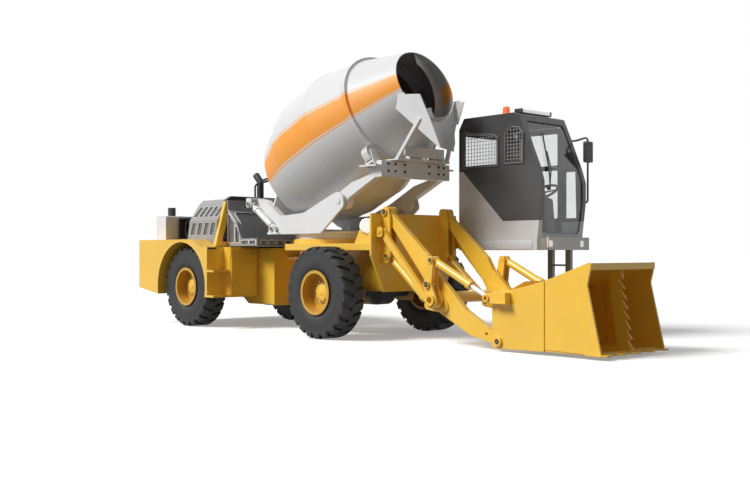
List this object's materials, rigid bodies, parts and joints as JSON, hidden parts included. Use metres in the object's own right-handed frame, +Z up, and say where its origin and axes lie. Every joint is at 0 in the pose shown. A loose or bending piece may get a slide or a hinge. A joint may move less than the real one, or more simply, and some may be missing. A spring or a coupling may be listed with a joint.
{
  "type": "self-loading concrete mixer",
  "caption": "Articulated carrier with a tilting mixer drum on a slewing platform, a front loader bucket on lifting arms, a side cab and a louvred engine hood.",
  "frame": {"origin": "middle of the machine's floor rectangle, on the ground", "axes": "+X forward towards the loader bucket, +Y to the machine's left, +Z up"},
  "size_m": [7.66, 2.825, 3.398],
  "materials": {
    "yellow_paint": "gloss",
    "light_grey_paint": "gloss",
    "drum_paint": "gloss",
    "charcoal_paint": "satin",
    "cab_grey": "satin",
    "black_metal": "satin",
    "engine_iron": "rough",
    "axle_iron": "rough",
    "blade_steel": "satin",
    "rod_chrome": "polished",
    "tyre_rubber": "matte",
    "rim_paint": "gloss",
    "hose_rubber": "matte",
    "apron_steel": "satin",
    "clear_glass": "clear",
    "guard_steel": "satin",
    "seat_plastic": "matte",
    "lamp_plastic": "gloss",
    "white_panel": "gloss",
    "mirror_black": "matte"
  },
  "bodies": {
    "front_body": {"front_frame": "yellow_paint", "front_axle": "axle_iron", "slew_bearing": "yellow_paint", "cab_lower": "cab_grey", "cab_upper": "charcoal_paint", "cab_glass": "clear_glass", "window_guards": "guard_steel", "cab_interior": "seat_plastic", "lamps": "lamp_plastic", "roof_unit": "white_panel", "cab_mirror": "mirror_black", "cab_ladder": "black_metal"},
    "cab_door_body": {"cab_door": "charcoal_paint", "cab_door_glass": "clear_glass"},
    "rear_body": {"rear_frame": "yellow_paint", "rear_fenders": "yellow_paint", "engine_hood": "light_grey_paint", "hood_frame": "yellow_paint", "engine_block": "engine_iron", "exhaust_stack": "black_metal", "rear_tank": "white_panel", "hood_nose": "charcoal_paint", "cooler_pack": "black_metal", "rear_axle": "axle_iron"},
    "locker_door_body": {"locker_door": "yellow_paint"},
    "platform_body": {"slew_platform": "white_panel"},
    "tilt_body": {"tilt_frame": "white_panel", "drum_drive": "black_metal", "drum_hoses": "hose_rubber", "discharge_hopper": "white_panel", "hopper_apron": "apron_steel"},
    "roller_left_body": {"support_roller_left": "black_metal"},
    "roller_right_body": {"support_roller_right": "black_metal"},
    "drum_body": {"drum_shell": "drum_paint", "drum_blades": "blade_steel"},
    "jack_barrel_body": {"drum_jack_barrels": "white_panel"},
    "jack_rod_body": {"drum_jack_rods": "rod_chrome"},
    "boom_body": {"boom_arms": "yellow_paint"},
    "crank_body": {"bell_cranks": "yellow_paint"},
    "link_body": {"level_links": "yellow_paint"},
    "lift_barrel_body": {"lift_barrels": "yellow_paint"},
    "lift_rod_body": {"lift_rods": "rod_chrome"},
    "pin_body": {"bucket_pins": "rod_chrome"},
    "bucket_body": {"bucket": "yellow_paint"},
    "tilt_barrel_body": {"bucket_tilt_barrels": "yellow_paint"},
    "tilt_rod_body": {"bucket_tilt_rods": "rod_chrome"},
    "wheel_front_left_body": {"tyre_front_left": "tyre_rubber", "rim_front_left": "rim_paint"},
    "wheel_front_right_body": {"tyre_front_right": "tyre_rubber", "rim_front_right": "rim_paint"},
    "wheel_rear_left_body": {"tyre_rear_left": "tyre_rubber", "rim_rear_left": "rim_paint"},
    "wheel_rear_right_body": {"tyre_rear_right": "tyre_rubber", "rim_rear_right": "rim_paint"}
  },
  "joints": [
    {"name": "wheel_front_left", "type": "hinge", "parent": "front_body", "child": "wheel_front_left_body", "pos_m": [0.165, 0.577, 0.5375], "axis": [0, 1, 0], "continuous": true},
    {"name": "wheel_front_right", "type": "hinge", "parent": "front_body", "child": "wheel_front_right_body", "pos_m": [0.165, -1.172, 0.5375], "axis": [0, 1, 0], "continuous": true},
    {"name": "wheel_rear_left", "type": "hinge", "parent": "rear_body", "child": "wheel_rear_left_body", "pos_m": [-2.64, 0.577, 0.5375], "axis": [0, 1, 0], "continuous": true},
    {"name": "wheel_rear_right", "type": "hinge", "parent": "rear_body", "child": "wheel_rear_right_body", "pos_m": [-2.64, -1.172, 0.5375], "axis": [0, 1, 0], "continuous": true},
    {"name": "steering", "type": "hinge", "parent": "front_body", "child": "rear_body", "pos_m": [-1.285, -0.2975, 0.65], "axis": [0, 0, 1], "range_deg": [-35, 35]},
    {"name": "cab_door_hinge", "type": "hinge", "parent": "front_body", "child": "cab_door_body", "pos_m": [1.007, 1.2625, 1.8], "axis": [0, 0, 1], "range_deg": [0, 80]},
    {"name": "locker_door_hinge", "type": "hinge", "parent": "rear_body", "child": "locker_door_body", "pos_m": [-1.797, -1.1595, 0.75], "axis": [0, 0, -1], "range_deg": [0, 90]},
    {"name": "platform_slew", "type": "hinge", "parent": "front_body", "child": "platform_body", "pos_m": [-0.585, -0.2975, 1.2], "axis": [0, 0, 1], "range_deg": [-270, 0]},
    {"name": "drum_tilt", "type": "hinge", "parent": "platform_body", "child": "tilt_body", "pos_m": [0.105, -0.2975, 1.62], "axis": [0, 1, 0], "range_deg": [0, 15]},
    {"name": "drum_spin", "type": "hinge", "parent": "tilt_body", "child": "drum_body", "pos_m": [0.935, -0.2975, 2.96], "axis": [0.9219, 0, 0.3875], "continuous": true},
    {"name": "roller_left_spin", "type": "hinge", "parent": "tilt_body", "child": "roller_left_body", "pos_m": [0.58579, 0.2534, 2.14952], "axis": [0.9219, 0, 0.3875], "continuous": true},
    {"name": "roller_right_spin", "type": "hinge", "parent": "tilt_body", "child": "roller_right_body", "pos_m": [0.58579, -0.8484, 2.14952], "axis": [0.9219, 0, 0.3875], "continuous": true},
    {"name": "drum_jack_swing", "type": "hinge", "parent": "platform_body", "child": "jack_barrel_body", "pos_m": [-1.175, -0.2975, 1.305], "axis": [0, 1, 0], "range_deg": [-1, 29]},
    {"name": "drum_jack_stroke", "type": "slide", "parent": "jack_barrel_body", "child": "jack_rod_body", "axis": [-0.8358, 0, 0.549], "range_m": [-0.02, 0.33]},
    {"name": "boom_lift", "type": "hinge", "parent": "front_body", "child": "boom_body", "pos_m": [0.82, -0.2975, 1.465], "axis": [0, -1, 0], "range_deg": [0, 75]},
    {"name": "crank_level", "type": "hinge", "parent": "boom_body", "child": "crank_body", "pos_m": [1.605, -0.2975, 0.657], "axis": [0, 1, 0], "range_deg": [-2, 77]},
    {"name": "link_swing", "type": "hinge", "parent": "front_body", "child": "link_body", "pos_m": [0.835, -0.2975, 1.24], "axis": [0, -1, 0], "range_deg": [-2, 77]},
    {"name": "lift_barrel_swing", "type": "hinge", "parent": "front_body", "child": "lift_barrel_body", "pos_m": [0.845, -0.2975, 0.961], "axis": [0, -1, 0], "range_deg": [-2, 80]},
    {"name": "lift_rod_stroke", "type": "slide", "parent": "lift_barrel_body", "child": "lift_rod_body", "axis": [0.7744, 0, -0.6327], "range_m": [-0.01, 0.63]},
    {"name": "pin_roll", "type": "hinge", "parent": "boom_body", "child": "pin_body", "pos_m": [2.535, -0.2975, 0.1], "axis": [0, 1, 0], "range_deg": [-2, 40]},
    {"name": "bucket_tilt", "type": "hinge", "parent": "pin_body", "child": "bucket_body", "pos_m": [2.535, -0.2975, 0.1], "axis": [0, -1, 0], "range_deg": [-50, 20]},
    {"name": "bucket_barrel_swing", "type": "hinge", "parent": "crank_body", "child": "tilt_barrel_body", "pos_m": [1.65, -0.2975, 0.92], "axis": [0, -1, 0], "range_deg": [-3, 92]},
    {"name": "bucket_rod_stroke", "type": "slide", "parent": "tilt_barrel_body", "child": "tilt_rod_body", "axis": [0.9022, 0, -0.4313], "range_m": [-0.15, 0.35]}
  ],
  "couplings": [
    {"joint": "roller_left_spin", "follows": "drum_spin", "ratio": -7.6632},
    {"joint": "roller_right_spin", "follows": "drum_spin", "ratio": -7.6632},
    {"joint": "drum_jack_swing", "follows": "drum_tilt", "ratio": 1.84},
    {"joint": "drum_jack_stroke", "follows": "drum_tilt", "m_per_rad": 1.156},
    {"joint": "crank_level", "follows": "boom_lift", "ratio": 1},
    {"joint": "link_swing", "follows": "boom_lift", "ratio": 1},
    {"joint": "lift_barrel_swing", "follows": "boom_lift", "ratio": 1.025},
    {"joint": "lift_rod_stroke", "follows": "boom_lift", "m_per_rad": 0.4686},
    {"joint": "pin_roll", "follows": "boom_lift", "ratio": 0.504},
    {"joint": "bucket_barrel_swing", "follows": "boom_lift", "ratio": 1.185},
    {"joint": "bucket_rod_stroke", "follows": "bucket_tilt", "m_per_rad": -0.37}
  ]
}
